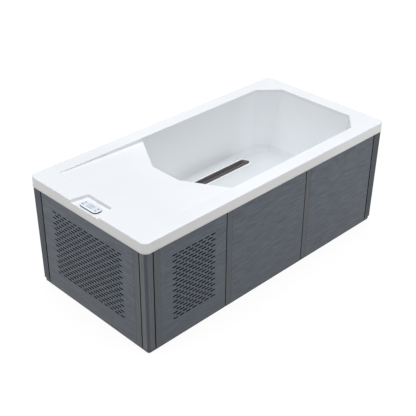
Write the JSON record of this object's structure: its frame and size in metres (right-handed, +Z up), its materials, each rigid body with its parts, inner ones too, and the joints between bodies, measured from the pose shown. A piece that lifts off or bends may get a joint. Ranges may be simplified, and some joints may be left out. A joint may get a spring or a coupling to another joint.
{
  "type": "cold plunge tub",
  "caption": "Oblong cold plunge tub: moulded white shell with a cut-cornered basin and sloping deck, on a slate skirt with vented panels round a built-in chiller.",
  "frame": {"origin": "on the floor under the middle of the rim", "axes": "+X along the tub from the console end to the backrest end, +Y from the pictured long side to the far one, +Z up"},
  "size_m": [2, 0.98, 0.72],
  "materials": {
    "shell_white": "gloss",
    "skirt_slate": "satin, streaked",
    "seal_black": "matte",
    "tray_dark": "matte",
    "grille_dark": "satin",
    "frame_steel": "mill",
    "fastener_steel": "satin",
    "timber": "raw",
    "foam": "raw",
    "board_grey": "satin",
    "console_grey": "satin",
    "lens_clear": "gloss",
    "button_grey": "satin",
    "coil_aluminium": "satin",
    "equipment_black": "satin",
    "compressor_black": "satin",
    "vessel_white": "satin",
    "copper": "bright",
    "pipe_white": "satin",
    "brass": "satin",
    "lever_red": "gloss",
    "cartridge_white": "matte"
  },
  "bodies": {
    "tub": {"tub_shell": "shell_white", "basin_foam": "foam", "basin_board": "timber", "suction_channel": "pipe_white", "return_nozzle": "pipe_white", "base_tray": "tray_dark", "base_rails": "frame_steel", "frame_uprights": "frame_steel", "top_rails": "frame_steel", "rim_battens": "timber", "basin_bearers": "frame_steel", "bulkhead": "board_grey", "deck_beam": "frame_steel", "equipment_plate": "frame_steel", "plate_bolts": "fastener_steel", "corner_posts": "skirt_slate", "end_panel_vented": "skirt_slate", "end_panel_plain": "skirt_slate", "front_panel_vented": "skirt_slate", "front_panel_middle": "skirt_slate", "front_panel_right": "skirt_slate", "back_panel_vented": "skirt_slate", "back_panel_middle": "skirt_slate", "back_panel_right": "skirt_slate", "panel_catches": "fastener_steel", "vent_filters": "equipment_black", "joint_strips": "seal_black", "rim_seal": "seal_black", "console_body": "console_grey", "console_gasket": "seal_black", "display_lens": "lens_clear", "condenser": "coil_aluminium", "fan_shroud": "equipment_black", "fan_bracket": "frame_steel", "fan_motor": "equipment_black", "compressor": "compressor_black", "compressor_mounts": "seal_black", "heat_exchanger": "vessel_white", "refrigerant_lines": "copper", "filter_drier": "copper", "circulation_pump": "equipment_black", "filter_housing": "equipment_black", "filter_cartridge": "cartridge_white", "filter_lid": "equipment_black", "control_box": "board_grey", "control_box_lid": "board_grey", "ozone_generator": "board_grey", "water_pipes": "pipe_white", "drain_valve": "brass", "drain_outlet": "brass", "cable_gland": "equipment_black"},
    "button_1": {"button_1": "button_grey"},
    "button_2": {"button_2": "button_grey"},
    "button_3": {"button_3": "button_grey"},
    "button_4": {"button_4": "button_grey"},
    "fan": {"fan_rotor": "equipment_black", "fan_shaft": "fastener_steel"},
    "grille": {"floor_grille": "grille_dark"},
    "drain_lever": {"drain_handle": "lever_red"},
    "filter_ring": {"filter_lock_ring": "equipment_black"}
  },
  "joints": [
    {"name": "button_1_press", "type": "slide", "parent": "tub", "child": "button_1", "axis": [0, 0, -1], "range_m": [0, 0.0008], "stiffness_N_per_m": 500},
    {"name": "button_2_press", "type": "slide", "parent": "tub", "child": "button_2", "axis": [0, 0, -1], "range_m": [0, 0.0008], "stiffness_N_per_m": 500},
    {"name": "button_3_press", "type": "slide", "parent": "tub", "child": "button_3", "axis": [0, 0, -1], "range_m": [0, 0.0008], "stiffness_N_per_m": 500},
    {"name": "button_4_press", "type": "slide", "parent": "tub", "child": "button_4", "axis": [0, 0, -1], "range_m": [0, 0.0008], "stiffness_N_per_m": 500},
    {"name": "fan_spin", "type": "hinge", "parent": "tub", "child": "fan", "pos_m": [-0.885, 0, 0.34], "axis": [1, 0, 0], "continuous": true},
    {"name": "grille_lift", "type": "slide", "parent": "tub", "child": "grille", "axis": [0, 0, 1], "range_m": [0, 0.06]},
    {"name": "drain_lever_turn", "type": "hinge", "parent": "tub", "child": "drain_lever", "pos_m": [-0.44, 0.398, 0.18], "axis": [0, 0, 1], "range_deg": [0, 90]},
    {"name": "filter_ring_turn", "type": "hinge", "parent": "tub", "child": "filter_ring", "pos_m": [-0.577, -0.26, 0.4], "axis": [0, 0, 1], "range_deg": [0, 60]}
  ]
}
